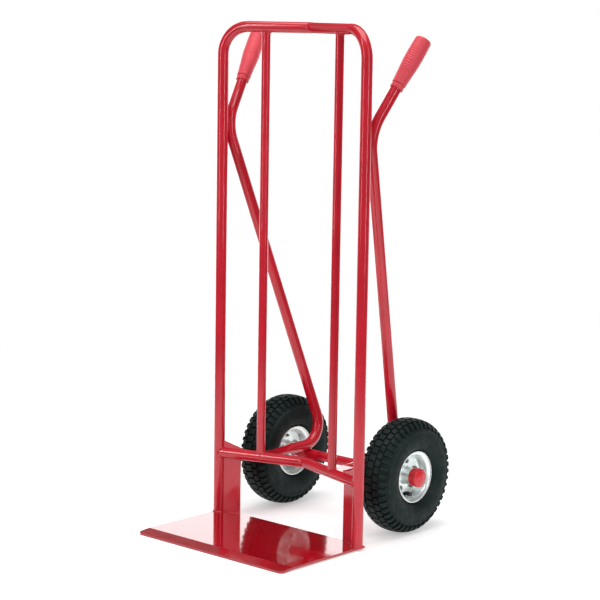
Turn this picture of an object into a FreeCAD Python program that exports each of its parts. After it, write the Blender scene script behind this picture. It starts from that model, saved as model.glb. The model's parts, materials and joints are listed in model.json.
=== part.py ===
# Hand truck: a welded round-tube frame with a toe plate, two handle tubes that run down
# to a rear axle, and two pneumatic wheels.
#
# Millimetres. +X is the truck's right-hand side, seen from in front of the toe plate,
# +Y is to the rear, where the wheels and handles are, and +Z is up. The origin lies on
# the floor, in the middle of the truck's footprint.
import FreeCAD, Part
import math
import os

# ---- overall layout ---------------------------------------------------------------
WHEEL_RADIUS = 130.0            # 3.00-4 pneumatic wheel, 260 mm across
TRACK_X = 182.5                 # wheel centre plane from the middle of the truck
AXLE_Y = 158.5
AXLE_Z = WHEEL_RADIUS
FRAME_Y = -37.5                 # plane of the two uprights
UPRIGHT_X = 211.0
TOP_Z = 1125.0                  # centreline of the top bar
CROSS_Z = 149.0                 # centreline of the lower cross member
BOW = 63.0                      # how far both cross bars bow to the rear at the middle

# ---- tubes ------------------------------------------------------------------------
TUBE_R = 12.5                   # 25 mm frame and handle tube
TUBE_WALL = 2.0
INNER_BAR_R = 10.0              # 20 mm inner bars
INNER_BAR_WALL = 1.5
CROSS_END_GAP = 4.0             # cross member's ends, from the uprights' axes, before coping
INNER_BAR_X = 108.0
HOOP_CORNER_R = 62.0
BOW_BEND_R = 30.0
HANDLE_BEND_R = 90.0
FOOT_BEND_R = 54.0

# ---- toe plate and gussets -----------------------------------------------------------
TOE_HALF_WIDTH = 218.5
TOE_THICKNESS = 5.0
TOE_TOP_Z = 8.0
TOE_BACK_Y = -19.5
TOE_LOAD_BACK_Y = -51.5                 # just in front of the uprights
TOE_FOLD_Y = -252.5
TOE_TIP_Y = -288.5
TOE_CORNER_R = 12.0
GUSSET_THICKNESS = 4.0
GUSSET_INNER_X = 158.0          # inboard edge of the plates above the toe plate
WEB_REACH = 52.0                # length and rise of the webs above the cross member
WEB_RISE = 15.0

# ---- handle tubes ----------------------------------------------------------------------
HANDLE_CORNER = (211.0, FRAME_Y + 16.2, 907.0)
GRIP_END = (244.2, FRAME_Y + 148.4, 1104.7)
FOOT_CORNER_Y = FRAME_Y + 253.5
FOOT_X = 108.0
FOOT_Z = 152.0
FOOT_ROUND_END_Y = FRAME_Y + 138.0      # the foot is round behind this
FOOT_FLAT_START_Y = FRAME_Y + 88.0      # and pressed flat in front of this
FOOT_FLAT_HALF_WIDTH = 18.0
FOOT_FLAT_HALF_HEIGHT = 2.4
FOOT_SLIT_HALF_WIDTH = 13.0             # the tube's bore where the pressing closes it
FOOT_SLIT_HALF_HEIGHT = 0.4

# ---- grips -----------------------------------------------------------------------------
GRIP_END_WALL = 4.0
GRIP_BARREL_LENGTH = 115.0
GRIP_COLLAR_LENGTH = 12.0
GRIP_COLLAR_R = 14.6
GRIP_GROOVE_R = 13.6
GRIP_LOWER_R = 16.0
GRIP_BELLY_R = 20.0
GRIP_TOP_R = 18.6
GRIP_DOME_LENGTH = 4.5
GRIP_DOME_DROP = 5.5            # how far the domed end's flat lies inside the barrel's radius
GRIP_GROOVE_LENGTH = 2.5

# ---- axle ------------------------------------------------------------------------------
SHAFT_R = 8.0
AXLE_TUBE_R = 11.5
AXLE_TUBE_CLEARANCE = 0.1
HUB_FACE = 29.0                 # outer faces of the hub cups, from the wheel's centre plane
BEARING_FACE = 27.0             # outer faces of the bearings
WASHER_R = 11.5
WASHER_THICKNESS = 3.0
AXLE_SEAT = BEARING_FACE + WASHER_THICKNESS
NUT_FLATS = 24.0
NUT_HEIGHT = 8.0
SHAFT_END = 39.0                # shaft end, from the wheel's centre plane
SHAFT_CHAMFER = 1.0

# ---- bearings --------------------------------------------------------------------------
BEARING_R = 17.5
BEARING_WIDTH = 11.0
BEARING_OUTER_WALL = 3.0
BEARING_INNER_WALL = 2.5
BALL_CLEARANCE = 0.05
BALL_COUNT = 8

# ---- rims, bolts, valves and caps --------------------------------------------------------
RIM_SHEET = 2.0
RIM_LIP_R = 58.2
RIM_LIP_X = 30.7
WELL_R = 47.8
BEAD_SEAT_R = 51.2
CUP_R = BEARING_R + RIM_SHEET
HUB_HOLE_R = 13.0
RIM_BOLT_CIRCLE_R = 33.0
RIM_BOLT_COUNT = 5
RIM_BOLT_FIRST_ANGLE = 90.0
RIM_BOLT_R = 3.0
RIM_BOLT_FLATS = 10.0
RIM_BOLT_HEAD = 4.0
RIM_BOLT_SPARE = 3.0            # thread that stands out beyond the nut
RIM_BOLT_CLEARANCE = 0.2
VALVE_HOLE_R = 3.9
VALVE_HOLE_REACH = 6.0          # how far the hole's cutter reaches to either side of the well wall
VALVE_R = 3.8
VALVE_BEND_R = 4.5
VALVE_ANGLE = 256.0             # where the valve stands round the wheel
VALVE_LEG_X = 7.6               # leg through the well wall, from the centre plane
VALVE_LEG_TOP_R = 62.0
VALVE_AXIS_R = 40.0             # the outer leg runs along the axle at this radius
VALVE_END_X = 25.0
VALVE_CAP_R = 4.8
VALVE_CAP_LENGTH = 11.0
VALVE_CAP_TOP = 1.5
TUBE_HALF_WIDTH = 34.5          # inner tube section
TUBE_HALF_HEIGHT = 29.5
TUBE_MIDDLE_R = 88.5
INNER_TUBE_WALL = 2.0
CAP_WALL = 1.5
CAP_START = 26.5
CAP_EDGE = 44.0
CAP_TOP = 48.0
CAP_ROUND = 1.5

SIDES = {"left": -1.0, "right": 1.0}

X_AXIS = FreeCAD.Vector(1, 0, 0)
Z_AXIS = FreeCAD.Vector(0, 0, 1)


def vector(x, y, z):
    return FreeCAD.Vector(x, y, z)


def write(node, shape):
    """Write one node and stop if its solids are not sound."""
    for solid in shape.Solids:
        if not solid.isValid() or solid.Volume <= 0:
            raise ValueError(node + " has a faulty solid")
    shape.exportStep("parts/" + node + ".step")


# ---- building blocks ---------------------------------------------------------------------
def straight(start, end, radius):
    return Part.makeCylinder(radius, (end - start).Length, start, end - start)


def bent_bar(points, bend_radii, radius):
    """Round bar along straight runs that are joined by tangent bends."""
    pieces = []
    run_start = points[0]
    for index, bend_radius in enumerate(bend_radii):
        corner = points[index + 1]
        incoming = (corner - points[index]).normalize()
        outgoing = (points[index + 2] - corner).normalize()
        turn = incoming.getAngle(outgoing)
        reach = bend_radius * math.tan(turn / 2)
        bend_start = corner - incoming * reach
        bend_axis = incoming.cross(outgoing).normalize()
        bend_centre = bend_start + bend_axis.cross(incoming) * bend_radius
        section = Part.Face(Part.Wire(Part.makeCircle(radius, bend_start, incoming)))
        pieces.append(straight(run_start, bend_start, radius))
        pieces.append(section.revolve(bend_centre, bend_axis, math.degrees(turn)))
        run_start = corner + outgoing * reach
    pieces.append(straight(run_start, points[-1], radius))
    return pieces[0].multiFuse(pieces[1:]).removeSplitter()


def bent_tube(points, bend_radii, radius, wall):
    return bent_bar(points, bend_radii, radius).cut(bent_bar(points, bend_radii, radius - wall))


def closed_face(edges):
    return Part.Face(Part.Wire(Part.__sortEdges__(edges)))


def polygon_face(points):
    return Part.Face(Part.makePolygon(points + points[:1]))


def lathe(profile):
    """Turn a closed (x, radius) outline about the wheel's own x axis."""
    outline = polygon_face([vector(x, radius, 0) for x, radius in profile])
    return outline.revolve(vector(0, 0, 0), X_AXIS, 360)


def ring(outer_radius, inner_radius, start_x, end_x):
    outer = Part.makeCylinder(outer_radius, end_x - start_x, vector(start_x, 0, 0), X_AXIS)
    inner = Part.makeCylinder(inner_radius, end_x - start_x, vector(start_x, 0, 0), X_AXIS)
    return outer.cut(inner)


def hexagon(flats, height, centre, direction):
    corner_radius = flats / math.sqrt(3)
    corners = []
    for k in range(6):
        angle = 2 * math.pi * k / 6
        corners.append(vector(corner_radius * math.cos(angle), corner_radius * math.sin(angle), 0))
    prism = polygon_face(corners).extrude(vector(0, 0, height))
    prism.Placement = FreeCAD.Placement(centre, FreeCAD.Rotation(Z_AXIS, direction))
    return prism


# ---- frame -----------------------------------------------------------------------------
def leg_point(x, z):
    """A point on the centreline of a bowed cross bar."""
    return vector(x, FRAME_Y + BOW * (1 - abs(x) / UPRIGHT_X), z)


def leg_bar(side, z):
    """Solid bar that stands for one leg of a bowed cross bar when ends are coped to it."""
    return straight(leg_point(side * UPRIGHT_X, z), leg_point(0, z), TUBE_R)


def upright_bar(side):
    foot = vector(side * UPRIGHT_X, FRAME_Y, TOE_TOP_Z)
    return straight(foot, vector(side * UPRIGHT_X, FRAME_Y, TOP_Z), TUBE_R)


def make_hoop():
    points = [
        vector(-UPRIGHT_X, FRAME_Y, TOE_TOP_Z),
        leg_point(-UPRIGHT_X, TOP_Z),
        leg_point(0, TOP_Z),
        leg_point(UPRIGHT_X, TOP_Z),
        vector(UPRIGHT_X, FRAME_Y, TOE_TOP_Z),
    ]
    return bent_tube(points, [HOOP_CORNER_R, BOW_BEND_R, HOOP_CORNER_R], TUBE_R, TUBE_WALL)


def make_cross_member():
    end_x = UPRIGHT_X - CROSS_END_GAP
    points = [leg_point(-end_x, CROSS_Z), leg_point(0, CROSS_Z), leg_point(end_x, CROSS_Z)]
    tube = bent_tube(points, [BOW_BEND_R], TUBE_R, TUBE_WALL)
    return tube.cut(upright_bar(-1)).cut(upright_bar(1))


def make_inner_bar(side):
    low = leg_point(side * INNER_BAR_X, CROSS_Z)
    high = leg_point(side * INNER_BAR_X, TOP_Z)
    bar = straight(low, high, INNER_BAR_R).cut(straight(low, high, INNER_BAR_R - INNER_BAR_WALL))
    return bar.cut(leg_bar(side, CROSS_Z)).cut(leg_bar(side, TOP_Z))


def upright_plate(side, outline, thickness):
    """Plate in the vertical plane of a cross member leg, from (distance from upright, z) points."""
    leg = (leg_point(0, 0) - leg_point(side * UPRIGHT_X, 0)).normalize()
    across = Z_AXIS.cross(leg) * (thickness / 2)
    corners = [leg_point(side * UPRIGHT_X, z) + leg * distance - across for distance, z in outline]
    plate = polygon_face(corners).extrude(across * 2)
    return plate.cut(upright_bar(side)).cut(leg_bar(side, CROSS_Z))


def make_gusset(side):
    leg_length = math.hypot(UPRIGHT_X, BOW)
    reach = (UPRIGHT_X - GUSSET_INNER_X) * leg_length / UPRIGHT_X
    outline = [(0, TOE_TOP_Z), (reach, TOE_TOP_Z), (reach, CROSS_Z), (0, CROSS_Z)]
    return upright_plate(side, outline, GUSSET_THICKNESS)


def make_web(side):
    bar_top = CROSS_Z + TUBE_R
    outline = [
        (0, CROSS_Z),
        (TUBE_R + WEB_REACH, CROSS_Z),
        (TUBE_R + WEB_REACH, bar_top),
        (TUBE_R, bar_top + WEB_RISE),
        (0, bar_top + WEB_RISE),
    ]
    return upright_plate(side, outline, GUSSET_THICKNESS)


def toe_sheet(points):
    """Length of the toe plate's section, from (y, z) points, across its full width."""
    profile = [vector(-TOE_HALF_WIDTH, y, z) for y, z in points]
    return polygon_face(profile).extrude(vector(2 * TOE_HALF_WIDTH, 0, 0))


def make_toe_plate():
    """Flat plate with its front edge folded down until it meets the floor.

    The load area is a face of its own, in front of the strip that the uprights stand on.
    """
    under_z = TOE_TOP_Z - TOE_THICKNESS
    lip = vector(0, TOE_TIP_Y - TOE_FOLD_Y, -under_z)
    tip_top = vector(0, TOE_TIP_Y, 0) + vector(0, lip.z, -lip.y).normalize() * TOE_THICKNESS
    front = toe_sheet([
        (TOE_LOAD_BACK_Y, TOE_TOP_Z),
        (TOE_FOLD_Y, TOE_TOP_Z),
        (tip_top.y, tip_top.z),
        (TOE_TIP_Y, 0),
        (TOE_FOLD_Y, under_z),
        (TOE_LOAD_BACK_Y, under_z),
    ])
    back = toe_sheet([
        (TOE_BACK_Y, TOE_TOP_Z),
        (TOE_LOAD_BACK_Y, TOE_TOP_Z),
        (TOE_LOAD_BACK_Y, under_z),
        (TOE_BACK_Y, under_z),
    ])
    return front.fuse(back).common(toe_outline())


def toe_outline():
    """Tall block with the plate's plan outline, its two front corners rounded."""
    depth = TOE_BACK_Y - TOE_TIP_Y
    corner = vector(-TOE_HALF_WIDTH, TOE_TIP_Y, -1)
    block = Part.makeBox(2 * TOE_HALF_WIDTH, depth, TOE_TOP_Z + 2, corner)
    front_corners = [
        edge
        for edge in block.Edges
        if abs(edge.tangentAt(0).z) > 0.9 and edge.CenterOfMass.y < TOE_TIP_Y + 1
    ]
    return block.makeFillet(TOE_CORNER_R, front_corners)


# ---- handles ---------------------------------------------------------------------------
def handle_points(side):
    """Centreline of a handle tube, from its grip end to its foot at the cross member."""
    grip_end = vector(side * GRIP_END[0], GRIP_END[1], GRIP_END[2])
    corner = vector(side * HANDLE_CORNER[0], HANDLE_CORNER[1], HANDLE_CORNER[2])
    along = (grip_end - corner).normalize()
    return [
        grip_end - along * GRIP_END_WALL,
        corner,
        vector(side * FOOT_X, FOOT_CORNER_Y, FOOT_Z),
        vector(side * FOOT_X, FOOT_ROUND_END_Y, FOOT_Z),
    ]


def pressed_section(side, y, corner_x, corner_z, side_bulge, top_bulge):
    """Outline across the foot in four edges, each a line or an arc between two corners."""
    centre = vector(side * FOOT_X, y, FOOT_Z)
    corners = [
        centre + vector(x, 0, z)
        for x, z in ((corner_x, -corner_z), (corner_x, corner_z), (-corner_x, corner_z), (-corner_x, -corner_z))
    ]
    far_x, far_z = corner_x + side_bulge, corner_z + top_bulge
    middles = [centre + vector(x, 0, z) for x, z in ((far_x, 0), (0, far_z), (-far_x, 0), (0, -far_z))]
    edges = []
    for k in range(4):
        start, middle, end = corners[k], middles[k], corners[(k + 1) % 4]
        flat = k % 2 and not top_bulge
        curve = Part.LineSegment(start, end) if flat else Part.Arc(start, middle, end)
        edges.append(curve.toShape())
    return Part.Wire(edges)


def round_section(side, y, radius):
    corner = radius * math.sqrt(0.5)
    return pressed_section(side, y, corner, corner, radius - corner, radius - corner)


def flat_section(side, y, half_width, half_height):
    return pressed_section(side, y, half_width - half_height, half_height, half_height, 0)


def pressed_bar(side, radius, flat_half_width, flat_half_height):
    """The foot's tapering length, from a round section to a flat one."""
    back = round_section(side, FOOT_ROUND_END_Y, radius)
    front = flat_section(side, FOOT_FLAT_START_Y, flat_half_width, flat_half_height)
    return Part.makeLoft([back, front], True, True)


def make_foot_end(side):
    """Front of the foot: tube pressed flat, with its bore closing to a slit."""
    taper = pressed_bar(side, TUBE_R, FOOT_FLAT_HALF_WIDTH, FOOT_FLAT_HALF_HEIGHT)
    bore = pressed_bar(side, TUBE_R - TUBE_WALL, FOOT_SLIT_HALF_WIDTH, FOOT_SLIT_HALF_HEIGHT)
    outline = flat_section(side, FOOT_FLAT_START_Y, FOOT_FLAT_HALF_WIDTH, FOOT_FLAT_HALF_HEIGHT)
    reach = FOOT_FLAT_START_Y - leg_point(FOOT_X + FOOT_FLAT_HALF_WIDTH, 0).y
    tongue = Part.Face(outline).extrude(vector(0, -reach, 0))
    return taper.cut(bore).fuse(tongue)


def make_handle_tube(side):
    tube = bent_tube(handle_points(side), [HANDLE_BEND_R, FOOT_BEND_R], TUBE_R, TUBE_WALL)
    tube = tube.fuse(make_foot_end(side))
    bar_foot = leg_point(side * INNER_BAR_X, CROSS_Z)
    inner_bar = straight(bar_foot, leg_point(side * INNER_BAR_X, TOP_Z), INNER_BAR_R)
    return tube.cut(leg_bar(side, CROSS_Z)).cut(inner_bar).cut(axle_bar(AXLE_TUBE_R))


def make_grip(side):
    """Moulded grip: swollen barrel with a domed end, a groove and a collar below it."""
    barrel = GRIP_BARREL_LENGTH
    groove = barrel + GRIP_GROOVE_LENGTH
    collar = barrel + GRIP_COLLAR_LENGTH
    belly = Part.BSplineCurve()
    belly.interpolate([
        vector(GRIP_DOME_LENGTH, GRIP_TOP_R, 0),
        vector(0.42 * barrel, GRIP_BELLY_R, 0),
        vector(0.75 * barrel, GRIP_BELLY_R - 1.6, 0),
        vector(barrel, GRIP_LOWER_R, 0),
    ])
    flat_r = GRIP_TOP_R - GRIP_DOME_DROP
    dome = Part.Arc(
        vector(0, flat_r, 0),
        vector(0.27 * GRIP_DOME_LENGTH, GRIP_TOP_R - 0.31 * GRIP_DOME_DROP, 0),
        vector(GRIP_DOME_LENGTH, GRIP_TOP_R, 0),
    )
    bore_r = TUBE_R
    lines = [
        [(0, 0), (0, flat_r)],
        [(barrel, GRIP_LOWER_R), (barrel, GRIP_GROOVE_R)],
        [(barrel, GRIP_GROOVE_R), (groove, GRIP_GROOVE_R)],
        [(groove, GRIP_GROOVE_R), (groove, GRIP_COLLAR_R)],
        [(groove, GRIP_COLLAR_R), (collar, GRIP_COLLAR_R)],
        [(collar, GRIP_COLLAR_R), (collar, bore_r)],
        [(collar, bore_r), (GRIP_END_WALL, bore_r)],
        [(GRIP_END_WALL, bore_r), (GRIP_END_WALL, 0)],
        [(GRIP_END_WALL, 0), (0, 0)],
    ]
    edges = [Part.makeLine(vector(a[0], a[1], 0), vector(b[0], b[1], 0)) for a, b in lines]
    edges += [belly.toShape(), dome.toShape()]
    grip = closed_face(edges).revolve(vector(0, 0, 0), X_AXIS, 360)
    tube_end, corner = handle_points(side)[:2]
    down = (corner - tube_end).normalize()
    grip.Placement = FreeCAD.Placement(tube_end - down * GRIP_END_WALL, FreeCAD.Rotation(X_AXIS, down))
    return grip


# ---- axle ------------------------------------------------------------------------------
def axle_bar(radius):
    half = TRACK_X - AXLE_SEAT
    return Part.makeCylinder(radius, 2 * half, vector(-half, AXLE_Y, AXLE_Z), X_AXIS)


def make_axle_tube():
    return axle_bar(AXLE_TUBE_R).cut(axle_bar(SHAFT_R + AXLE_TUBE_CLEARANCE))


def make_axle_shaft():
    half = TRACK_X + SHAFT_END
    shaft = Part.makeCylinder(SHAFT_R, 2 * half, vector(-half, AXLE_Y, AXLE_Z), X_AXIS)
    end_edges = [edge for edge in shaft.Edges if isinstance(edge.Curve, Part.Circle)]
    return shaft.makeChamfer(SHAFT_CHAMFER, end_edges)


# ---- wheels, in their own frame: x points outboard from the wheel's centre plane -------------
def place_wheel(shape, side):
    """Put a wheel piece on the axle; the left wheel mirrors the right one."""
    placed = shape.copy() if side > 0 else shape.mirror(vector(0, 0, 0), X_AXIS)
    placed.translate(vector(side * TRACK_X, AXLE_Y, AXLE_Z))
    return placed


def mirrored_pair(make_shape):
    """A piece and its copy on the other side of the wheel's centre plane."""
    shape = make_shape()
    return Part.makeCompound([shape, shape.mirror(vector(0, 0, 0), X_AXIS)])


def bearing_ring_outer():
    return ring(BEARING_R, BEARING_R - BEARING_OUTER_WALL, BEARING_FACE - BEARING_WIDTH, BEARING_FACE)


def bearing_ring_inner():
    return ring(SHAFT_R + BEARING_INNER_WALL, SHAFT_R, BEARING_FACE - BEARING_WIDTH, BEARING_FACE)


def bearing_balls():
    """Balls that sit in the outer ring and run just clear of the inner one."""
    inner_r = SHAFT_R + BEARING_INNER_WALL
    outer_r = BEARING_R - BEARING_OUTER_WALL
    ball_r = (outer_r - inner_r - BALL_CLEARANCE) / 2
    path_r = outer_r - ball_r
    middle_x = BEARING_FACE - BEARING_WIDTH / 2
    balls = []
    for k in range(BALL_COUNT):
        angle = 2 * math.pi * k / BALL_COUNT
        centre = vector(middle_x, path_r * math.cos(angle), path_r * math.sin(angle))
        balls.append(Part.makeSphere(ball_r, centre))
    return Part.makeCompound(balls)


def hub_washer():
    return ring(WASHER_R, SHAFT_R, BEARING_FACE, AXLE_SEAT)


def make_spacer():
    half = BEARING_FACE - BEARING_WIDTH
    return ring(SHAFT_R + BEARING_INNER_WALL, SHAFT_R, -half, half)


def make_axle_nut():
    nut_top = AXLE_SEAT + NUT_HEIGHT
    nut = hexagon(NUT_FLATS, NUT_HEIGHT, vector(AXLE_SEAT, 0, 0), X_AXIS)
    rounding = lathe([
        (AXLE_SEAT, 0),
        (nut_top, 0),
        (nut_top, NUT_FLATS / 2),
        (nut_top - 1.5, NUT_FLATS / math.sqrt(3)),
        (AXLE_SEAT, NUT_FLATS / math.sqrt(3)),
    ])
    bore = Part.makeCylinder(SHAFT_R, NUT_HEIGHT, vector(AXLE_SEAT, 0, 0), X_AXIS)
    return nut.common(rounding).cut(bore)


def rim_half():
    """Pressed half rim: hub cup, flat web, well, bead seat and rolled lip."""
    return lathe([
        (HUB_FACE, HUB_HOLE_R),
        (HUB_FACE, CUP_R - 1.0),
        (HUB_FACE - 1.0, CUP_R),
        (RIM_SHEET + 2.0, CUP_R),
        (RIM_SHEET, CUP_R + 2.0),
        (RIM_SHEET, WELL_R - 4.3),
        (RIM_SHEET + 2.0, WELL_R - RIM_SHEET),
        (24.0, BEAD_SEAT_R - 2.2),
        (26.2, BEAD_SEAT_R),
        (27.5, RIM_LIP_R - 3.6),
        (28.6, RIM_LIP_R - 2.0),
        (RIM_LIP_X, RIM_LIP_R - 1.6),
        (RIM_LIP_X, RIM_LIP_R),
        (27.4, RIM_LIP_R),
        (26.0, RIM_LIP_R - 1.8),
        (24.6, BEAD_SEAT_R + 1.0),
        (23.5, BEAD_SEAT_R),
        (2.0, WELL_R),
        (0.0, WELL_R - 2.0),
        (0.0, BEARING_R),
        (BEARING_FACE, BEARING_R),
        (BEARING_FACE, HUB_HOLE_R),
    ])


def rim_bolt_places():
    places = []
    for k in range(RIM_BOLT_COUNT):
        angle = math.radians(RIM_BOLT_FIRST_ANGLE + 360.0 * k / RIM_BOLT_COUNT)
        places.append(vector(0, RIM_BOLT_CIRCLE_R * math.cos(angle), RIM_BOLT_CIRCLE_R * math.sin(angle)))
    return places


def valve_point(x, radius):
    """A point in the valve's own half plane through the axle."""
    angle = math.radians(VALVE_ANGLE)
    return vector(x, radius * math.cos(angle), radius * math.sin(angle))


def make_rim_outer():
    rim = rim_half()
    for place in rim_bolt_places():
        rim = rim.cut(Part.makeCylinder(RIM_BOLT_R + RIM_BOLT_CLEARANCE, RIM_SHEET, place, X_AXIS))
    hole_start = valve_point(VALVE_LEG_X, WELL_R - VALVE_HOLE_REACH)
    hole_end = valve_point(VALVE_LEG_X, WELL_R + VALVE_HOLE_REACH)
    return rim.cut(straight(hole_start, hole_end, VALVE_HOLE_R))


def make_rim_inner():
    rim = rim_half().mirror(vector(0, 0, 0), X_AXIS)
    for place in rim_bolt_places():
        start = place - X_AXIS * RIM_SHEET
        rim = rim.cut(Part.makeCylinder(RIM_BOLT_R + RIM_BOLT_CLEARANCE, RIM_SHEET, start, X_AXIS))
    return rim


def make_rim_bolts():
    bolts = []
    for place in rim_bolt_places():
        head = hexagon(RIM_BOLT_FLATS, RIM_BOLT_HEAD, place + X_AXIS * RIM_SHEET, X_AXIS)
        below = RIM_SHEET + RIM_BOLT_HEAD + RIM_BOLT_SPARE
        shank_start = place - X_AXIS * below
        shank_length = below + RIM_SHEET
        bolts.append(head.fuse(Part.makeCylinder(RIM_BOLT_R, shank_length, shank_start, X_AXIS)))
    return Part.makeCompound(bolts)


def make_rim_nuts():
    nuts = []
    for place in rim_bolt_places():
        start = place - X_AXIS * (RIM_SHEET + RIM_BOLT_HEAD)
        nut = hexagon(RIM_BOLT_FLATS, RIM_BOLT_HEAD, start, X_AXIS)
        nuts.append(nut.cut(Part.makeCylinder(RIM_BOLT_R, RIM_BOLT_HEAD, start, X_AXIS)))
    return Part.makeCompound(nuts)


def smooth_half(points):
    curve = Part.BSplineCurve()
    curve.interpolate([vector(x, radius, 0) for x, radius in points])
    return curve.toShape()


def symmetric_ring(half_outer, half_inner):
    """Turn a section that is the same on both sides of the wheel's centre plane."""
    outer_edge = smooth_half(half_outer)
    inner_edge = smooth_half(half_inner)
    foot = Part.makeLine(vector(half_outer[-1][0], half_outer[-1][1], 0),
                         vector(half_inner[-1][0], half_inner[-1][1], 0))
    crown = Part.makeLine(vector(half_outer[0][0], half_outer[0][1], 0),
                          vector(half_inner[0][0], half_inner[0][1], 0))
    half = closed_face([outer_edge, foot, inner_edge, crown]).revolve(vector(0, 0, 0), X_AXIS, 360)
    return half.fuse(half.mirror(vector(0, 0, 0), X_AXIS)).removeSplitter()


def make_tyre():
    outside = [
        (0.0, WHEEL_RADIUS), (13.0, 129.2), (24.0, 126.2), (32.0, 121.0), (37.5, 112.5),
        (41.0, 102.0), (42.5, 90.0), (41.0, 76.5), (35.5, 65.0), (27.2, 59.6), (24.2, 52.2),
    ]
    inside = [(0.0, 121.5), (13.0, 120.5), (26.0, 115.0), (33.6, 104.0), (36.3, 91.0),
              (33.5, 77.0), (24.0, 65.5), (14.5, 60.5), (12.5, 52.2)]
    return symmetric_ring(outside, inside)


def inflated_ring(inset):
    """Solid ring with the inner tube's section, taken in all round by the inset."""
    section = Part.Ellipse(vector(0, 0, 0), TUBE_HALF_WIDTH - inset, TUBE_HALF_HEIGHT - inset)
    section.Center = vector(0, TUBE_MIDDLE_R, 0)
    return Part.Face(Part.Wire(section.toShape())).revolve(vector(0, 0, 0), X_AXIS, 360)


def make_inner_tube():
    """Thin rubber tube that lies inside the tyre."""
    return inflated_ring(0).cut(inflated_ring(INNER_TUBE_WALL))


def make_valve():
    """Bent stem that rises from the inner tube, passes the rim and turns outboard."""
    points = [
        valve_point(VALVE_LEG_X, VALVE_LEG_TOP_R),
        valve_point(VALVE_LEG_X, VALVE_AXIS_R),
        valve_point(VALVE_END_X, VALVE_AXIS_R),
    ]
    return bent_bar(points, [VALVE_BEND_R], VALVE_R).cut(inflated_ring(0))


def make_valve_cap():
    mouth = valve_point(VALVE_END_X - VALVE_CAP_LENGTH + VALVE_CAP_TOP, VALVE_AXIS_R)
    stem_end = valve_point(VALVE_END_X, VALVE_AXIS_R)
    cap_end = valve_point(VALVE_END_X + VALVE_CAP_TOP, VALVE_AXIS_R)
    return straight(mouth, cap_end, VALVE_CAP_R).cut(straight(mouth, stem_end, VALVE_R))


def make_hub_cap():
    outer_r = CUP_R + CAP_WALL
    dome_edge_r = outer_r - CAP_ROUND
    dome_rise = CAP_TOP - CAP_EDGE
    dome_r = (dome_rise ** 2 + dome_edge_r ** 2) / (2 * dome_rise)
    dome_middle_x = CAP_TOP - dome_r + math.sqrt(dome_r ** 2 - (dome_edge_r / 2) ** 2)
    outer_dome = Part.Arc(vector(CAP_EDGE, dome_edge_r, 0), vector(dome_middle_x, dome_edge_r / 2, 0),
                          vector(CAP_TOP, 0, 0))
    round_middle = CAP_ROUND * (1 - math.sqrt(0.5))
    lip_round = Part.Arc(vector(CAP_EDGE - CAP_ROUND, outer_r, 0),
                         vector(CAP_EDGE - round_middle, outer_r - round_middle, 0),
                         vector(CAP_EDGE, dome_edge_r, 0))
    inner_x = CAP_TOP - CAP_WALL
    inner_middle_x = inner_x - dome_rise / 3
    inner_edge_x = CAP_EDGE - CAP_WALL
    lines = [
        [(CAP_TOP, 0), (inner_x, 0)],
        [(inner_x, 0), (inner_middle_x, CUP_R / 2)],
        [(inner_middle_x, CUP_R / 2), (inner_edge_x, CUP_R)],
        [(inner_edge_x, CUP_R), (CAP_START, CUP_R)],
        [(CAP_START, CUP_R), (CAP_START, outer_r)],
        [(CAP_START, outer_r), (CAP_EDGE - CAP_ROUND, outer_r)],
    ]
    edges = [Part.makeLine(vector(a[0], a[1], 0), vector(b[0], b[1], 0)) for a, b in lines]
    edges += [outer_dome.toShape(), lip_round.toShape()]
    return closed_face(edges).revolve(vector(0, 0, 0), X_AXIS, 360)


# ---- the whole truck ---------------------------------------------------------------------
def write_frame():
    write("frame_hoop", make_hoop())
    write("cross_member", make_cross_member())
    write("toe_plate", make_toe_plate())
    write("axle_tube", make_axle_tube())
    write("axle_shaft", make_axle_shaft())
    for name, side in SIDES.items():
        write("inner_bar_" + name, make_inner_bar(side))
        write("gusset_" + name, make_gusset(side))
        write("cross_web_" + name, make_web(side))
        write("handle_tube_" + name, make_handle_tube(side))
        write("grip_" + name, make_grip(side))


def write_wheels():
    wheel_pieces = {
        "tyre": make_tyre(),
        "inner_tube": make_inner_tube(),
        "rim_outer": make_rim_outer(),
        "rim_inner": make_rim_inner(),
        "rim_bolts": make_rim_bolts(),
        "rim_nuts": make_rim_nuts(),
        "bearing_outer_rings": mirrored_pair(bearing_ring_outer),
        "bearing_balls": mirrored_pair(bearing_balls),
        "bearing_inner_rings": mirrored_pair(bearing_ring_inner),
        "hub_spacer": make_spacer(),
        "hub_washers": mirrored_pair(hub_washer),
        "axle_nut": make_axle_nut(),
        "valve": make_valve(),
        "valve_cap": make_valve_cap(),
        "hub_cap": make_hub_cap(),
    }
    for name, side in SIDES.items():
        for piece, shape in wheel_pieces.items():
            write(piece + "_" + name, place_wheel(shape, side))


os.makedirs("parts", exist_ok=True)
write_frame()
write_wheels()
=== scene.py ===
import json
import math
import random

import bmesh
import bpy
from mathutils import Matrix, Vector, noise


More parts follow.
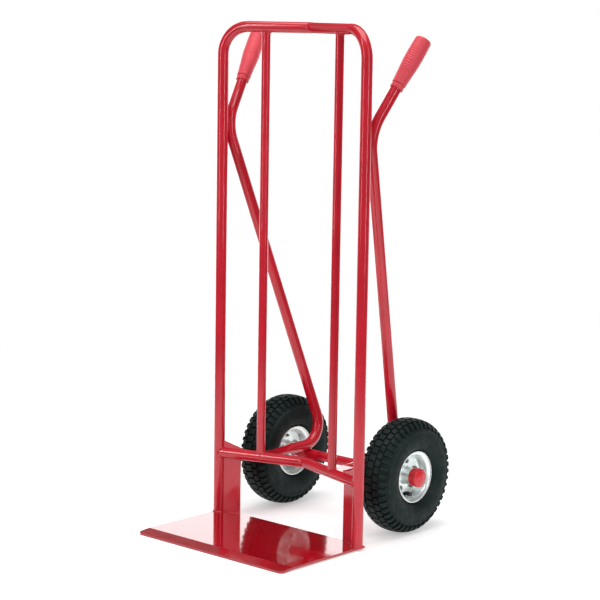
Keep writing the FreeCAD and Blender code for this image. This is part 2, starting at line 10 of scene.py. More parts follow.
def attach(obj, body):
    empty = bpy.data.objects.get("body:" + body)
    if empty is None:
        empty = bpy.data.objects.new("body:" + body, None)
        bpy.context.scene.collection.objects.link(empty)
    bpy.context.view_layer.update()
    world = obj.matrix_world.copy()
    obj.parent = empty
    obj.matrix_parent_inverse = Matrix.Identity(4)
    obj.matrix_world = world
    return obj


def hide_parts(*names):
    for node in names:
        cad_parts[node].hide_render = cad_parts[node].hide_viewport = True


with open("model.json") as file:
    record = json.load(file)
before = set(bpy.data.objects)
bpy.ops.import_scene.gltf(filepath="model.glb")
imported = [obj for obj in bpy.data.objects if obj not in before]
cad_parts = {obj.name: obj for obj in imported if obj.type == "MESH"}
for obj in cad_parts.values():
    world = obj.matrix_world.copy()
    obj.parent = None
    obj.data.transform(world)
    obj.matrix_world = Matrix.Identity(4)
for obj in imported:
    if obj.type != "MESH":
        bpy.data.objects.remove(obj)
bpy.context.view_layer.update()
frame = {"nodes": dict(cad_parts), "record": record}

# ---- sizes shared with the CAD model, in metres ------------------------------------------
FRAME_Y = -0.0375
UPRIGHT_X = 0.211
TOP_Z = 1.125
CROSS_Z = 0.149
BOW = 0.063
TUBE_R = 0.0125
INNER_BAR_R = 0.010
INNER_BAR_X = 0.108
FOOT_Z = 0.152
TOE_TOP_Z = 0.008
GUSSET_HALF = 0.002
GUSSET_INNER_X = 0.158
TRACK_X = 0.1825
AXLE_Y = 0.1585
AXLE_Z = 0.130
GRIP_END = Vector((0.2442, 0.1109, 1.1047))
HANDLE_CORNER = Vector((0.211, -0.0213, 0.907))

UP = Vector((0.0, 0.0, 1.0))
SIDES = {"left": -1.0, "right": 1.0}


# ---- materials -------------------------------------------------------------------------
class Look:
    """A principled material whose colour, roughness and bump come from noise nodes."""

    def __init__(self, name):
        self.material = bpy.data.materials.new(name)
        self.material.use_nodes = True
        self.nodes = self.material.node_tree.nodes
        self.links = self.material.node_tree.links
        self.shader = self.nodes["Principled BSDF"]
        self.position = self.nodes.new("ShaderNodeTexCoord").outputs["Object"]

    def set(self, **values):
        for name, value in values.items():
            self.shader.inputs[name.replace("_", " ")].default_value = value

    def noise(self, scale, detail=3.0, roughness=0.5):
        texture = self.nodes.new("ShaderNodeTexNoise")
        texture.inputs["Scale"].default_value = scale
        texture.inputs["Detail"].default_value = detail
        texture.inputs["Roughness"].default_value = roughness
        self.links.new(self.position, texture.inputs["Vector"])
        return texture.outputs["Fac"]

    def ramp(self, source, stops):
        ramp = self.nodes.new("ShaderNodeValToRGB")
        elements = ramp.color_ramp.elements
        while len(elements) < len(stops):
            elements.new(0.5)
        for element, (place, colour) in zip(elements, stops):
            element.position = place
            element.color = (*colour, 1.0)
        self.links.new(source, ramp.inputs["Fac"])
        return ramp.outputs["Color"]

    def remap(self, source, low, high, start=0.3, end=0.7):
        remap = self.nodes.new("ShaderNodeMapRange")
        remap.inputs["From Min"].default_value = start
        remap.inputs["From Max"].default_value = end
        remap.inputs["To Min"].default_value = low
        remap.inputs["To Max"].default_value = high
        self.links.new(source, remap.inputs["Value"])
        return remap.outputs["Result"]

    def mix(self, factor, first, second):
        mix = self.nodes.new("ShaderNodeMix")
        mix.data_type = "RGBA"
        colour_a, colour_b, colour_out = 6, 7, 2    # the node's colour sockets
        self.links.new(factor, mix.inputs[0])
        self.links.new(first, mix.inputs[colour_a])
        self.links.new(second, mix.inputs[colour_b])
        return mix.outputs[colour_out]

    def colour(self, source):
        self.links.new(source, self.shader.inputs["Base Color"])

    def roughness(self, source):
        self.links.new(source, self.shader.inputs["Roughness"])

    def bumps(self, *layers):
        """Chain bump layers, each (height source, distance in metres, strength)."""
        normal = None
        for source, distance, strength in layers:
            bump = self.nodes.new("ShaderNodeBump")
            bump.inputs["Strength"].default_value = strength
            bump.inputs["Distance"].default_value = distance
            self.links.new(source, bump.inputs["Height"])
            if normal:
                self.links.new(normal, bump.inputs["Normal"])
            normal = bump.outputs["Normal"]
        self.links.new(normal, self.shader.inputs["Normal"])


def powder_coat(name, deep, bright, gloss, peel, coat):
    """Glossy red coat with faint orange peel and a slight drift in colour."""
    look = Look(name)
    look.colour(look.ramp(look.noise(14.0, 4.0), [(0.30, deep), (0.70, bright)]))
    look.roughness(look.remap(look.noise(60.0, 5.0), gloss, gloss + 0.07))
    look.bumps(
        (look.noise(420.0, 2.0), 0.0004, peel),
        (look.noise(26.0, 2.0), 0.002, peel * 0.6),
    )
    look.set(Coat_Weight=coat, Coat_Roughness=0.04, IOR=1.5, Specular_IOR_Level=0.5)
    return look.material


def make_looks():
    looks = {}
    looks["red_paint"] = powder_coat(
        "RedPaint", (0.54, 0.006, 0.020), (0.64, 0.009, 0.028), gloss=0.10, peel=0.06, coat=0.35)
    # the toe plate has the same red coat as the frame; this darker copy is painted shade on the toe plate
    looks["toe_paint"] = powder_coat(
        "ShadedToePaint", (0.37, 0.002, 0.009), (0.43, 0.003, 0.012), gloss=0.06, peel=0.09, coat=0.55)

    grip = Look("RedGrip")
    grip.colour(grip.ramp(grip.noise(40.0, 5.0),
                          [(0.3, (0.72, 0.050, 0.075)), (0.7, (0.80, 0.070, 0.100))]))
    grip.roughness(grip.remap(grip.noise(180.0, 4.0), 0.42, 0.56))
    grip.bumps((grip.noise(1500.0, 2.0), 0.0003, 0.25), (grip.noise(120.0, 3.0), 0.0006, 0.12))
    grip.set(IOR=1.48, Sheen_Weight=0.15, Sheen_Roughness=0.5)
    looks["red_grip"] = grip.material

    cap = Look("RedCap")
    cap.colour(cap.ramp(cap.noise(70.0, 3.0),
                        [(0.3, (0.68, 0.018, 0.030)), (0.7, (0.76, 0.028, 0.042))]))
    cap.roughness(cap.remap(cap.noise(250.0, 4.0), 0.24, 0.34))
    cap.bumps((cap.noise(700.0, 2.0), 0.0003, 0.12))
    looks["red_cap"] = cap.material

    tyre = Look("TyreRubber")
    clean = tyre.ramp(tyre.noise(55.0, 6.0, 0.6),
                      [(0.3, (0.005, 0.009, 0.009)), (0.75, (0.011, 0.019, 0.018))])
    dusty = tyre.ramp(tyre.noise(240.0, 6.0, 0.7),
                      [(0.3, (0.018, 0.025, 0.025)), (0.8, (0.045, 0.058, 0.056))])
    tyre.colour(tyre.mix(tyre.remap(tyre.noise(18.0, 8.0, 0.7), 0.0, 0.5, 0.50, 0.72), clean, dusty))
    tyre.roughness(tyre.remap(tyre.noise(90.0, 5.0), 0.46, 0.68))
    tyre.bumps((tyre.noise(1300.0, 3.0), 0.0003, 0.35), (tyre.noise(160.0, 4.0), 0.0006, 0.15))
    tyre.set(IOR=1.5, Specular_IOR_Level=0.22, Specular_Tint=(0.75, 1.0, 0.97, 1.0))
    looks["tyre_rubber"] = tyre.material
    looks["tube_rubber"] = tyre.material
    looks["valve_rubber"] = tyre.material

    plastic = Look("BlackPlastic")
    plastic.colour(plastic.ramp(plastic.noise(200.0),
                                [(0.3, (0.012, 0.012, 0.013)), (0.7, (0.022, 0.022, 0.024))]))
    plastic.roughness(plastic.remap(plastic.noise(500.0), 0.35, 0.5))
    plastic.bumps((plastic.noise(900.0), 0.0002, 0.2))
    looks["black_plastic"] = plastic.material

    zinc = Look("RimZinc")
    zinc.colour(zinc.ramp(zinc.noise(45.0, 6.0, 0.65),
                          [(0.3, (0.84, 0.92, 0.91)), (0.7, (0.93, 0.98, 0.97))]))
    zinc.roughness(zinc.remap(zinc.noise(80.0, 6.0), 0.26, 0.36))
    zinc.bumps((zinc.noise(260.0, 3.0), 0.0004, 0.08), (zinc.noise(30.0, 2.0), 0.001, 0.08))
    zinc.set(Metallic=0.82)
    looks["rim_zinc"] = zinc.material

    steel = Look("PlatedSteel")
    steel.colour(steel.ramp(steel.noise(150.0, 5.0),
                            [(0.3, (0.55, 0.56, 0.56)), (0.7, (0.72, 0.73, 0.72))]))
    steel.roughness(steel.remap(steel.noise(300.0, 5.0), 0.26, 0.42))
    steel.bumps((steel.noise(900.0, 3.0), 0.0002, 0.2))
    steel.set(Metallic=1.0)
    looks["plated_steel"] = steel.material
    looks["bearing_steel"] = steel.material

    bolt = Look("DarkBoltSteel")
    bolt.colour(bolt.ramp(bolt.noise(220.0, 5.0),
                          [(0.3, (0.09, 0.10, 0.10)), (0.7, (0.20, 0.22, 0.21))]))
    bolt.roughness(bolt.remap(bolt.noise(400.0, 4.0), 0.35, 0.55))
    bolt.bumps((bolt.noise(900.0, 3.0), 0.0002, 0.2))
    bolt.set(Metallic=0.9)
    looks["bolt_steel"] = bolt.material
    return looks


# ---- mesh helpers -----------------------------------------------------------------------
def new_piece(name, vertices, faces, look, body, replaces=(), smooth_angle=40.0):
    mesh = bpy.data.meshes.new(name)
    mesh.from_pydata([tuple(v) for v in vertices], [], faces)
    mesh.materials.append(look)
    shape = bmesh.new()
    shape.from_mesh(mesh)
    bmesh.ops.recalc_face_normals(shape, faces=shape.faces)
    shape.to_mesh(mesh)
    shape.free()
    mesh.shade_smooth()
    mesh.set_sharp_from_angle(angle=math.radians(smooth_angle))
    piece = bpy.data.objects.new(name, mesh)
    bpy.context.scene.collection.objects.link(piece)
    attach(piece, body)
    if replaces:
        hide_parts(*replaces)
    return piece


def grid_faces(rows, columns, wrap_rows=False, wrap_columns=True):
    faces = []
    for i in range(rows if wrap_rows else rows - 1):
        for j in range(columns if wrap_columns else columns - 1):
            a, b = i * columns + j, i * columns + (j + 1) % columns
            c, d = ((i + 1) % rows) * columns + (j + 1) % columns, ((i + 1) % rows) * columns + j
            faces.append((a, b, c, d))
    return faces


def across(direction):
    """Two unit vectors at right angles to a direction and to each other."""
    side = direction.orthogonal().normalized()
    return side, direction.cross(side).normalized()


# ---- wheels ----------------------------------------------------------------------------
PITCHES = 46                    # tread blocks round the tyre
GROOVE_DEPTH = 0.0046
TYRE_OUTER = [
    (0.0, 0.1300), (0.013, 0.1292), (0.024, 0.1262), (0.032, 0.1210), (0.0375, 0.1125),
    (0.0410, 0.1020), (0.0425, 0.0900), (0.0410, 0.0765), (0.0355, 0.0650), (0.0272, 0.0596),
    (0.0242, 0.0522),
]
TREAD_EDGE_R = 0.1125           # where the shoulder blocks end on the side wall


def catmull(points, steps):
    """Smooth open curve through 2-D points."""
    points = [Vector(p) for p in points]
    ghost_start = Vector((-points[1].x, points[1].y))
    padded = [ghost_start] + points + [points[-1] * 2 - points[-2]]
    curve = []
    for a, b, c, d in zip(padded, padded[1:], padded[2:], padded[3:]):
        for k in range(steps):
            t = k / steps
            curve.append(0.5 * ((2 * b) + (c - a) * t + (2 * a - 5 * b + 4 * c - d) * t ** 2
                                + (3 * b - a - 3 * c + d) * t ** 3))
    curve.append(points[-1])
    return curve


def arc_table(curve):
    lengths = [0.0]
    for a, b in zip(curve, curve[1:]):
        lengths.append(lengths[-1] + (b - a).length)
    return lengths


def point_at(curve, lengths, s):
    for k in range(len(curve) - 1):
        if s <= lengths[k + 1] or k == len(curve) - 2:
            t = (s - lengths[k]) / (lengths[k + 1] - lengths[k])
            return curve[k].lerp(curve[k + 1], t), (curve[k + 1] - curve[k]).normalized()
    raise ValueError("arc length out of range")


def smooth_step(value):
    value = min(1.0, max(0.0, value))
    return value * value * (3 - 2 * value)


def groove_profile(distance, half_width, wall):
    """1 on the floor of a groove, 0 on the blocks beside it."""
    return 1.0 - smooth_step((abs(distance) - half_width) / wall)


SIDE_RING_R = 0.1045            # raised ring round the side wall
SHOULDER_NOTCH = 0.24           # half width of the gaps between shoulder blocks, in pitches
ROW_NOTCH = 0.075               # and of the gaps in the two middle rows
NOTCH_WALL = 0.045
# places in one pitch where the walls of the gaps begin, run and end, and their mirror images
HALF_CUTS = (0.075, 0.098, 0.12, 0.18, 0.24, 0.262, 0.285, 0.38, 0.402, 0.425)
PITCH_CUTS = (0.0, *HALF_CUTS, 0.5, *(1.0 - cut for cut in reversed(HALF_CUTS)))
FIRST_ROW_END = 0.0101          # arc length from the crown to the middle of each ring groove
SECOND_ROW_END = 0.0243
RING_GROOVE_HALF = 0.0009
RING_GROOVE_WALL = 0.0008
SHOULDER_STEP = 0.0022          # drop from the blocks to the side wall, and how far it reaches
SHOULDER_STEP_REACH = 0.006
WALL_SINK = 0.0010              # shallow dip of the side wall beyond it
WALL_SINK_REACH = 0.030
TREAD_END_DROP = 0.0032         # rounding of the last blocks down to the side wall
TREAD_END_WALL = 0.0018
SIDE_RING_HEIGHT = 0.0010
SIDE_RING_HALF = 0.0006
SIDE_RING_WALL = 0.0012
BLOCK_STATIONS = (0.0, 0.0045, 0.0172, 0.0290, 0.0330)
RING_GROOVE_STATIONS = (-0.0017, -0.0013, -0.0009, 0.0009, 0.0013, 0.0017)
TREAD_END_STATIONS = (0.0018, 0.0012, 0.0006, 0.0)
SIDE_RING_STATIONS = (-0.0018, -0.0012, -0.0006, 0.0006, 0.0012, 0.0018)
SIDE_RING_CLEAR = 0.0025
WALL_START = 0.0015
WALL_SPACING = 0.0048
BLOCK_SLANT = 0.20              # how far the blocks lean, in pitches, at SLANT_REACH
SLANT_REACH = 0.034
SECTION_MIDDLE_R = 0.09
CURVE_STEPS = 24
TYRE_INNER = [
    (0.0125, 0.0522), (0.0145, 0.0605), (0.0335, 0.0770), (0.0363, 0.0910), (0.0260, 0.1150),
    (0.0, 0.1205),
]


def tyre_depth(distance, cut, radius, tread_end):
    """How far the tyre's surface lies under its full outline."""
    if distance > tread_end:
        past = distance - tread_end
        foot = SHOULDER_STEP * (1.0 - smooth_step(past / SHOULDER_STEP_REACH))
        sink = WALL_SINK * (1.0 - smooth_step(past / WALL_SINK_REACH))
        ring = SIDE_RING_HEIGHT * groove_profile(radius - SIDE_RING_R, SIDE_RING_HALF, SIDE_RING_WALL)
        return max(0.0, foot + sink - ring)
    shifted = cut + (0.5 if FIRST_ROW_END < distance < SECOND_ROW_END else 0.0)
    gap = min(shifted % 1.0, 1.0 - shifted % 1.0)
    notch = SHOULDER_NOTCH if distance > SECOND_ROW_END else ROW_NOTCH
    ring_groove = max(groove_profile(distance - row_end, RING_GROOVE_HALF, RING_GROOVE_WALL)
                      for row_end in (FIRST_ROW_END, SECOND_ROW_END))
    depth = max(ring_groove, groove_profile(gap, notch, NOTCH_WALL)) * GROOVE_DEPTH
    return max(depth, TREAD_END_DROP * smooth_step((distance - tread_end + TREAD_END_WALL) / TREAD_END_WALL))


def tyre_stations(curve, lengths, tread_end):
    """Arc lengths of the rings of vertices, from one bead over the crown to the other."""
    ring_at = next(s for s, p in zip(lengths, curve) if p.y < SIDE_RING_R)
    positions = {*BLOCK_STATIONS, lengths[-1]}
    positions.update(tread_end - offset for offset in TREAD_END_STATIONS)
    for middle in (FIRST_ROW_END, SECOND_ROW_END):
        positions.update(middle + offset for offset in RING_GROOVE_STATIONS)
    positions.update(ring_at + offset for offset in SIDE_RING_STATIONS)
    s = tread_end + WALL_START
    while s < lengths[-1]:
        if abs(s - ring_at) > SIDE_RING_CLEAR:
            positions.add(s)
        s += WALL_SPACING
    ordered = sorted(positions)
    return [-s for s in reversed(ordered[1:])] + ordered


def tyre_mesh():
    """Tyre outside with three kinds of tread blocks, and its inside as a plain shell."""
    curve = catmull(TYRE_OUTER, CURVE_STEPS)
    lengths = arc_table(curve)
    tread_end = next(s for s, p in zip(lengths, curve) if p.y < TREAD_EDGE_R)
    stations = tyre_stations(curve, lengths, tread_end)
    pitch = 2 * math.pi / PITCHES
    vertices = []
    for s in stations:
        side = -1.0 if s < 0 else 1.0
        distance = abs(s)
        point, tangent = point_at(curve, lengths, distance)
        normal = Vector((-tangent.y, tangent.x))
        if normal.dot(Vector((point.x, point.y - SECTION_MIDDLE_R))) < 0:
            normal = -normal
        slant = BLOCK_SLANT * min(distance, SLANT_REACH) / SLANT_REACH
        for p in range(PITCHES):
            for cut in PITCH_CUTS:
                depth = tyre_depth(distance, cut, point.y, tread_end)
                angle = (p + cut + side * slant) * pitch
                x = side * (point.x - normal.x * depth)
                r = point.y - normal.y * depth
                vertices.append(Vector((x, r * math.cos(angle), r * math.sin(angle))))
    full_inner = TYRE_INNER + [(-x, r) for x, r in reversed(TYRE_INNER[:-1])]
    for x, r in full_inner:
        for p in range(PITCHES):
            for cut in PITCH_CUTS:
                angle = (p + cut) * pitch
                vertices.append(Vector((x, r * math.cos(angle), r * math.sin(angle))))
    rows = len(stations) + len(full_inner)
    return vertices, grid_faces(rows, PITCHES * len(PITCH_CUTS), wrap_rows=True)


def wheel_place(vertices, side):
    return [Vector((side * (TRACK_X + v.x), AXLE_Y + v.y, AXLE_Z + v.z)) for v in vertices]


def make_wheels(looks):
    tyre_vertices, tyre_faces = tyre_mesh()
    for name, side in SIDES.items():
        body = "wheel_" + name
        new_piece("tyre_tread_" + name, wheel_place(tyre_vertices, side), tyre_faces,
                  looks["tyre_rubber"], body, ["tyre_" + name])


# ---- grips ------------------------------------------------------------------------------
GRIP_BARREL = 0.115             # length of the barrel, then a groove and a collar
GRIP_END_R = 0.0184
GRIP_DOME_LENGTH = 0.0045
GRIP_DOME_DROP = 0.0055
GRIP_FLAT_END_R = 0.0129        # the end face inside the dome
GRIP_SWELL = 0.0012
GRIP_BELLY_R = 0.0196
GRIP_BELLY_AT = 0.42            # share of the barrel
GRIP_TAPER = 0.0038
RIB_START, RIB_END = 0.030, 0.088
RIB_PITCH = 0.0058
RIB_DEPTH = 0.00035
GRIP_RING_AT = 0.0575
GRIP_RING_WIDTH = 0.0009
GRIP_RING_HEIGHT = 0.0005
GRIP_GROOVE_R = 0.0136
GRIP_GROOVE_LENGTH = 0.0025
GRIP_COLLAR_R = 0.0146
GRIP_CORNER = 0.0008
GRIP_STEP = 0.0005
GRIP_SIDES = 96
DOME_STEPS = 8
END_FACE = [(0.0, 0.0005), (0.0, 0.006), (0.0, 0.0105)]
BARREL_START, BARREL_END = 0.006, 0.1142
COLLAR = [(0.1150, 0.0140), (0.1152, 0.0136), (0.1174, 0.0136), (0.1176, 0.0142), (0.1180, 0.0146),
          (0.1262, 0.0146), (0.1268, 0.0143), (0.1270, 0.0138), (0.1270, 0.0126)]


def grip_radius(s):
    """Outside radius of a grip at a distance from its top end, just under the CAD outline."""
    if s < GRIP_DOME_LENGTH:
        drop = 1 - math.sqrt(max(0.0, 1 - (1 - s / GRIP_DOME_LENGTH) ** 2))
        return GRIP_END_R - GRIP_DOME_DROP * drop
    if s <= GRIP_BARREL:
        t = s / GRIP_BARREL
        body = GRIP_END_R + GRIP_SWELL * math.sin(min(1.0, t / GRIP_BELLY_AT) * math.pi / 2)
        if t > GRIP_BELLY_AT:
            narrowing = smooth_step((t - GRIP_BELLY_AT) / (1.0 - GRIP_BELLY_AT)) ** 1.15
            body = GRIP_BELLY_R - GRIP_TAPER * narrowing
        ribs = 0.0
        if RIB_START < s < RIB_END:
            ribs = RIB_DEPTH * (0.5 - 0.5 * math.cos(2 * math.pi * (s - RIB_START) / RIB_PITCH))
        ring = GRIP_RING_HEIGHT * math.exp(-((s - GRIP_RING_AT) / GRIP_RING_WIDTH) ** 2)
        return body - ribs + ring
    return GRIP_GROOVE_R if s < GRIP_BARREL + GRIP_GROOVE_LENGTH else GRIP_COLLAR_R


def grip_stations():
    """Distance from the top end and radius of each ring of vertices."""
    stations = list(END_FACE)
    for k in range(1, DOME_STEPS + 1):
        turn = k * math.pi / (2 * DOME_STEPS)
        stations.append((GRIP_DOME_LENGTH * (1 - math.cos(turn)),
                         GRIP_FLAT_END_R + GRIP_DOME_DROP * math.sin(turn)))
    s = BARREL_START
    while s < BARREL_END:
        stations.append((s, grip_radius(s)))
        s += GRIP_STEP
    stations.append((BARREL_END, grip_radius(BARREL_END)))
    stations.append((0.1148, grip_radius(GRIP_BARREL) - GRIP_CORNER))
    return stations + COLLAR


def make_grips(looks):
    stations = grip_stations()
    for name, side in SIDES.items():
        end = Vector((side * GRIP_END.x, GRIP_END.y, GRIP_END.z))
        corner = Vector((side * HANDLE_CORNER.x, HANDLE_CORNER.y, HANDLE_CORNER.z))
        down = (corner - end).normalized()
        first, second = across(down)
        vertices = []
        for s, r in stations:
            for k in range(GRIP_SIDES):
                angle = 2 * math.pi * k / GRIP_SIDES
                vertices.append(end + down * s + (first * math.cos(angle) + second * math.sin(angle)) * r)
        faces = grid_faces(len(stations), GRIP_SIDES)
        faces.append(tuple(range(GRIP_SIDES)))
        new_piece("grip_body_" + name, vertices, faces, looks["red_grip"],
                  "frame", ["grip_" + name])


# ---- weld seams --------------------------------------------------------------------------
WELD_R = 0.0020
GUSSET_WELD_R = 0.0018
UPRIGHT_WELD_R = 0.0022
WELD_STEP = 0.0009
WELD_SIDES = 10
WELD_RIPPLE, WELD_RIPPLE_PITCH = 0.10, 0.0026
WELD_SWELL, WELD_SWELL_SCALE = 0.18, 160.0
WELD_END, WELD_END_RINGS = 0.35, 4.0        # share of the radius at an open end, and its taper
SEAM_STEPS = 72
CROSS_START_X = 0.1


def bead(name, path, looks, radius=WELD_R, closed=True):
    """Weld seam: a lumpy round bead along a path."""
    random.seed(name)
    lengths = arc_table(path)
    count = max(12, int(lengths[-1] / WELD_STEP))
    centres = []
    for k in range(count):
        s = lengths[-1] * k / (count if closed else count - 1)
        index = max(i for i in range(len(lengths)) if lengths[i] <= s + 1e-9)
        index = min(index, len(path) - 2)
        t = (s - lengths[index]) / max(1e-9, lengths[index + 1] - lengths[index])
        centres.append(path[index].lerp(path[index + 1], t))
    vertices = []
    phase = random.random()
    for k, centre in enumerate(centres):
        ahead = centres[(k + 1) % count] if closed else centres[min(k + 1, count - 1)]
        behind = centres[k - 1] if closed or k else centres[0]
        direction = (ahead - behind).normalized()
        first, second = across(direction)
        if abs(direction.dot(UP)) < 0.95:
            first = direction.cross(UP).normalized()
            second = direction.cross(first).normalized()
        s = lengths[-1] * k / count
        ripple = 1.0 + WELD_RIPPLE * math.sin(2 * math.pi * (s / WELD_RIPPLE_PITCH + phase))
        swell = 1.0 + WELD_SWELL * noise.noise(centre * WELD_SWELL_SCALE)
        end_taper = 1.0
        if not closed:
            rings_in = min(k, count - 1 - k)
            end_taper = min(1.0, WELD_END + (1.0 - WELD_END) * rings_in / WELD_END_RINGS)
        r = radius * ripple * swell * end_taper
        for j in range(WELD_SIDES):
            angle = 2 * math.pi * j / WELD_SIDES
            vertices.append(centre + (first * math.cos(angle) + second * math.sin(angle)) * r)
    faces = grid_faces(count, WELD_SIDES, wrap_rows=closed)
    if not closed:
        faces.append(tuple(range(WELD_SIDES)))
        faces.append(tuple(range((count - 1) * WELD_SIDES, count * WELD_SIDES)))
    return new_piece(name, vertices, faces, looks["red_paint"], "frame", smooth_angle=80.0)


def leg_point(x, z):
    return Vector((x, FRAME_Y + BOW * (1 - abs(x) / UPRIGHT_X), z))


def saddle(start, direction, radius, other_point, other_direction, other_radius):
    """Path where a round bar meets the outside of another one, nearest to the bar's start."""
    direction, axis = direction.normalized(), other_direction.normalized()
    first, second = across(direction)
    path = []
    for k in range(SEAM_STEPS + 1):
        angle = math.radians(360.0 * k / SEAM_STEPS)
        base = start + (first * math.cos(angle) + second * math.sin(angle)) * radius
        offset = base - other_point
        offset -= axis * offset.dot(axis)
        step = direction - axis * direction.dot(axis)
        a, b, c = step.dot(step), 2 * offset.dot(step), offset.dot(offset) - other_radius ** 2
        root = b * b - 4 * a * c
        if root < 0:
            continue
        path.append(base + direction * ((-b - math.sqrt(root)) / (2 * a)))
    return path


FOOT_FLAT_HALF_WIDTH = 0.018
FOOT_FLAT_HALF_HEIGHT = 0.0024
HANDLE_SEAM_X = 0.0052
HANDLE_SEAM_Y = FRAME_Y + TUBE_R + 0.0002
HANDLE_SEAM_Z = (0.888, 0.900, 0.912, 0.924)


def tongue_path(side):
    """Loop round a flattened foot where it meets the cross member."""
    stretch = math.hypot(1.0, BOW / UPRIGHT_X)
    steps = 12
    path = []
    for face in (1, -1):
        z = FOOT_Z + face * FOOT_FLAT_HALF_HEIGHT
        for k in range(steps + 1):
            x = side * INNER_BAR_X + face * (2 * k / steps - 1) * FOOT_FLAT_HALF_WIDTH
            reach = math.sqrt(TUBE_R ** 2 - (z - CROSS_Z) ** 2) * stretch
            path.append(leg_point(x, z) + Vector((0.0, reach, 0.0)))
    return path + [path[0]]


def make_welds(looks):
    for name, side in SIDES.items():
        leg_axis = leg_point(side * UPRIGHT_X, 0) - leg_point(0, 0)
        low, high = leg_point(side * INNER_BAR_X, CROSS_Z), leg_point(side * INNER_BAR_X, TOP_Z)
        middle = (low + high) / 2
        bead("weld_bar_low_" + name, saddle(middle, -UP, INNER_BAR_R, low, leg_axis, TUBE_R), looks)
        bead("weld_bar_top_" + name, saddle(middle, UP, INNER_BAR_R, high, leg_axis, TUBE_R), looks)
        upright = Vector((side * UPRIGHT_X, FRAME_Y, CROSS_Z))
        cross_start = leg_point(side * CROSS_START_X, CROSS_Z)
        bead("weld_cross_" + name, saddle(cross_start, leg_axis, TUBE_R, upright, UP, TUBE_R), looks)
        bead("weld_foot_" + name, tongue_path(side), looks)
        for edge in (-1, 1):
            x = side * UPRIGHT_X + edge * HANDLE_SEAM_X
            seam = [Vector((x, HANDLE_SEAM_Y, z)) for z in HANDLE_SEAM_Z]
            bead("weld_handle_%s_%s" % (name, "front" if edge < 0 else "back"), seam, looks, closed=False)
        along = leg_axis.normalized() * -side
        inner = leg_point(side * GUSSET_INNER_X, TOE_TOP_Z)
        outer = leg_point(side * (UPRIGHT_X - TUBE_R), TOE_TOP_Z)
        for edge in (-1, 1):
            offset = UP.cross(along).normalized() * (edge * GUSSET_HALF)
            label = "%s_%s" % (name, "front" if edge < 0 else "back")
            seam = [inner + offset, outer + offset]
            bead("weld_gusset_" + label, seam, looks, GUSSET_WELD_R, closed=False)
        turns = [2 * math.pi * k / SEAM_STEPS for k in range(SEAM_STEPS + 1)]
        ring = [Vector((side * UPRIGHT_X + TUBE_R * math.cos(a), FRAME_Y + TUBE_R * math.sin(a), TOE_TOP_Z))
                for a in turns]
        bead("weld_upright_" + name, ring, looks, UPRIGHT_WELD_R)


# ---- carried-over CAD nodes -----------------------------------------------------------------
def dress_cad_nodes(looks):
    slots = {part["node"]: part["material_slot"] for part in frame["record"]["subparts"]}
    for node, piece in frame["nodes"].items():
        look = looks[slots[node]]
        # the toe plate gets the darker copy of the red coat, which paints shade onto it
        if node == "toe_plate":
            look = looks["toe_paint"]
        elif node.startswith("rim_bolts"):
            look = looks["bolt_steel"]
        piece.data.materials.clear()
        piece.data.materials.append(look)


# ---- stage, lights and camera ------------------------------------------------------------------
CAMERA_AZIMUTH = math.radians(41.927)
CAMERA_PITCH = math.radians(8.689)
CAMERA_ROLL = math.radians(0.911)
CAMERA_PLACE = Vector((2.84213, -3.16609, 1.17455))
CAMERA_LENS = 115.92


def make_camera():
    forward = Vector((-math.sin(CAMERA_AZIMUTH) * math.cos(CAMERA_PITCH),
                      math.cos(CAMERA_AZIMUTH) * math.cos(CAMERA_PITCH), -math.sin(CAMERA_PITCH)))
    level = Vector((math.cos(CAMERA_AZIMUTH), math.sin(CAMERA_AZIMUTH), 0.0))
    upward = level.cross(forward)
    right = level * math.cos(CAMERA_ROLL) + upward * math.sin(CAMERA_ROLL)
    top = upward * math.cos(CAMERA_ROLL) - level * math.sin(CAMERA_ROLL)
    data = bpy.data.cameras.new("Camera")
    data.lens = CAMERA_LENS
    data.sensor_width = 36.0
    data.clip_end = 100.0
    camera = bpy.data.objects.new("Camera", data)
    basis = Matrix((right, top, -forward)).transposed().to_4x4()
    basis.translation = CAMERA_PLACE
    camera.matrix_world = basis
    bpy.context.scene.collection.objects.link(camera)
    bpy.context.scene.camera = camera


FLOOR_R = 3.0
FLOOR_SIDES = 64
FLOOR_FADE = (0.9, 2.4)         # distances from the truck between which the floor fades out


def make_floor():
    mesh = bpy.data.meshes.new("Floor")
    turns = [2 * math.pi * k / FLOOR_SIDES for k in range(FLOOR_SIDES)]
    ring = [(FLOOR_R * math.cos(a), FLOOR_R * math.sin(a), 0.0) for a in turns]
    mesh.from_pydata(ring, [], [tuple(range(FLOOR_SIDES))])
    floor = bpy.data.objects.new("Floor", mesh)
    bpy.context.scene.collection.objects.link(floor)
    material = bpy.data.materials.new("PaleFloor")
    material.use_nodes = True
    nodes, links = material.node_tree.nodes, material.node_tree.links
    shader = nodes["Principled BSDF"]
    shader.inputs["Base Color"].default_value = (0.93, 0.93, 0.93, 1.0)
    shader.inputs["Roughness"].default_value = 0.8
    shader.inputs["Specular IOR Level"].default_value = 0.1
    shader.inputs["Emission Color"].default_value = (1.0, 1.0, 1.0, 1.0)
    shader.inputs["Emission Strength"].default_value = 0.38
    clear = nodes.new("ShaderNodeBsdfTransparent")
    mix = nodes.new("ShaderNodeMixShader")
    position = nodes.new("ShaderNodeNewGeometry")
    length = nodes.new("ShaderNodeVectorMath")
    length.operation = "LENGTH"
    fade = nodes.new("ShaderNodeMapRange")
    fade.interpolation_type = "SMOOTHSTEP"
    fade.inputs["From Min"].default_value, fade.inputs["From Max"].default_value = FLOOR_FADE
    links.new(position.outputs["Position"], length.inputs[0])
    links.new(length.outputs["Value"], fade.inputs["Value"])
    links.new(fade.outputs["Result"], mix.inputs["Fac"])
    links.new(shader.outputs["BSDF"], mix.inputs[1])
    links.new(clear.outputs["BSDF"], mix.inputs[2])
    links.new(mix.outputs["Shader"], nodes["Material Output"].inputs["Surface"])
    mesh.materials.append(material)


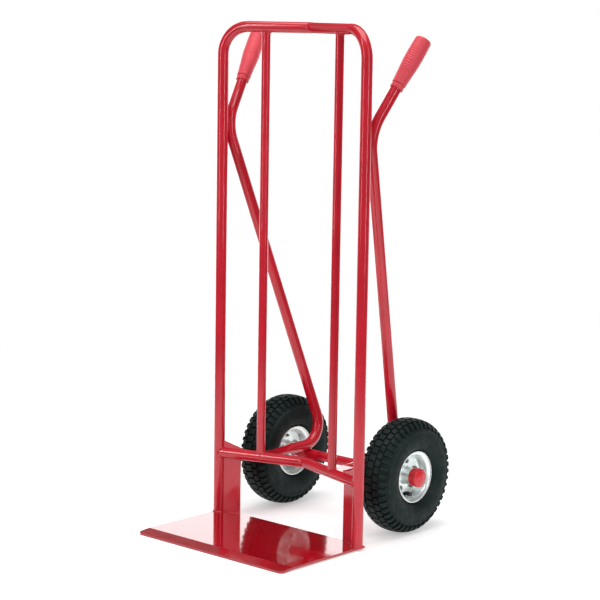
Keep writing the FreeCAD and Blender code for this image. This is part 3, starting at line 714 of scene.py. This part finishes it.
def world_level(links, nodes, source, bounds, values):
    """Smooth step of one direction component between two bounds."""
    level = nodes.new("ShaderNodeMapRange")
    level.interpolation_type = "SMOOTHSTEP"
    level.inputs["From Min"].default_value, level.inputs["From Max"].default_value = bounds
    level.inputs["To Min"].default_value, level.inputs["To Max"].default_value = values
    links.new(source, level.inputs["Value"])
    return level.outputs["Result"]


def world_sum(links, nodes, operation, first, second):
    node = nodes.new("ShaderNodeMath")
    node.operation = operation
    links.new(first, node.inputs[0])
    links.new(second, node.inputs[1])
    return node.outputs["Value"]


def make_world():
    """White room: dim in front of the truck, very bright low down behind it, soft above."""
    world = bpy.data.worlds.new("Studio")
    bpy.context.scene.world = world
    world.use_nodes = True
    nodes, links = world.node_tree.nodes, world.node_tree.links
    background = nodes["Background"]
    direction = nodes.new("ShaderNodeTexCoord").outputs["Generated"]
    along = nodes.new("ShaderNodeVectorMath")
    along.operation = "DOT_PRODUCT"
    along.inputs[1].default_value = (-math.sin(CAMERA_AZIMUTH), math.cos(CAMERA_AZIMUTH), 0.0)
    links.new(direction, along.inputs[0])
    split = nodes.new("ShaderNodeSeparateXYZ")
    links.new(direction, split.inputs["Vector"])
    height = split.outputs["Z"]
    size = nodes.new("ShaderNodeMath")
    size.operation = "ABSOLUTE"
    links.new(height, size.inputs[0])
    room = world_level(links, nodes, along.outputs["Value"], (-0.7, 0.4), (0.24, 0.16))
    glow = world_level(links, nodes, along.outputs["Value"], (0.35, 0.80), (0.0, 2.2))
    band = world_level(links, nodes, size.outputs["Value"], (0.295, 0.36), (1.0, 0.0))
    ceiling = world_level(links, nodes, height, (0.4, 1.0), (0.0, 0.35))
    glow = world_sum(links, nodes, "MULTIPLY", glow, band)
    total = world_sum(links, nodes, "ADD", world_sum(links, nodes, "ADD", room, glow), ceiling)
    rays = nodes.new("ShaderNodeLightPath")
    seen = nodes.new("ShaderNodeMix")
    seen.inputs["B"].default_value = 1.0
    links.new(rays.outputs["Is Camera Ray"], seen.inputs["Factor"])
    links.new(total, seen.inputs["A"])
    links.new(seen.outputs["Result"], background.inputs["Strength"])
    background.inputs["Color"].default_value = (1.0, 1.0, 1.0, 1.0)


def add_softbox(name, place, target, width, height, power):
    data = bpy.data.lights.new(name, "AREA")
    data.shape = "RECTANGLE"
    data.size, data.size_y = width, height
    data.energy = power
    light = bpy.data.objects.new(name, data)
    light.location = place
    light.rotation_euler = (Vector(target) - Vector(place)).to_track_quat("-Z", "Y").to_euler()
    bpy.context.scene.collection.objects.link(light)


def make_lights():
    add_softbox("Top", (0.2, -0.3, 3.4), (0.0, 0.0, 0.0), 2.6, 2.6, 60.0)
    add_softbox("StripLeft", (-0.75, -2.35, 1.5), (0.0, 0.0, 0.75), 0.12, 2.4, 17.0)
    add_softbox("StripRight", (2.45, -0.40, 1.4), (0.0, 0.0, 0.70), 0.12, 2.4, 14.0)


looks = make_looks()
dress_cad_nodes(looks)
make_wheels(looks)
make_grips(looks)
make_welds(looks)
make_camera()
make_floor()
make_world()
make_lights()
bpy.context.scene.view_settings.view_transform = "Standard"
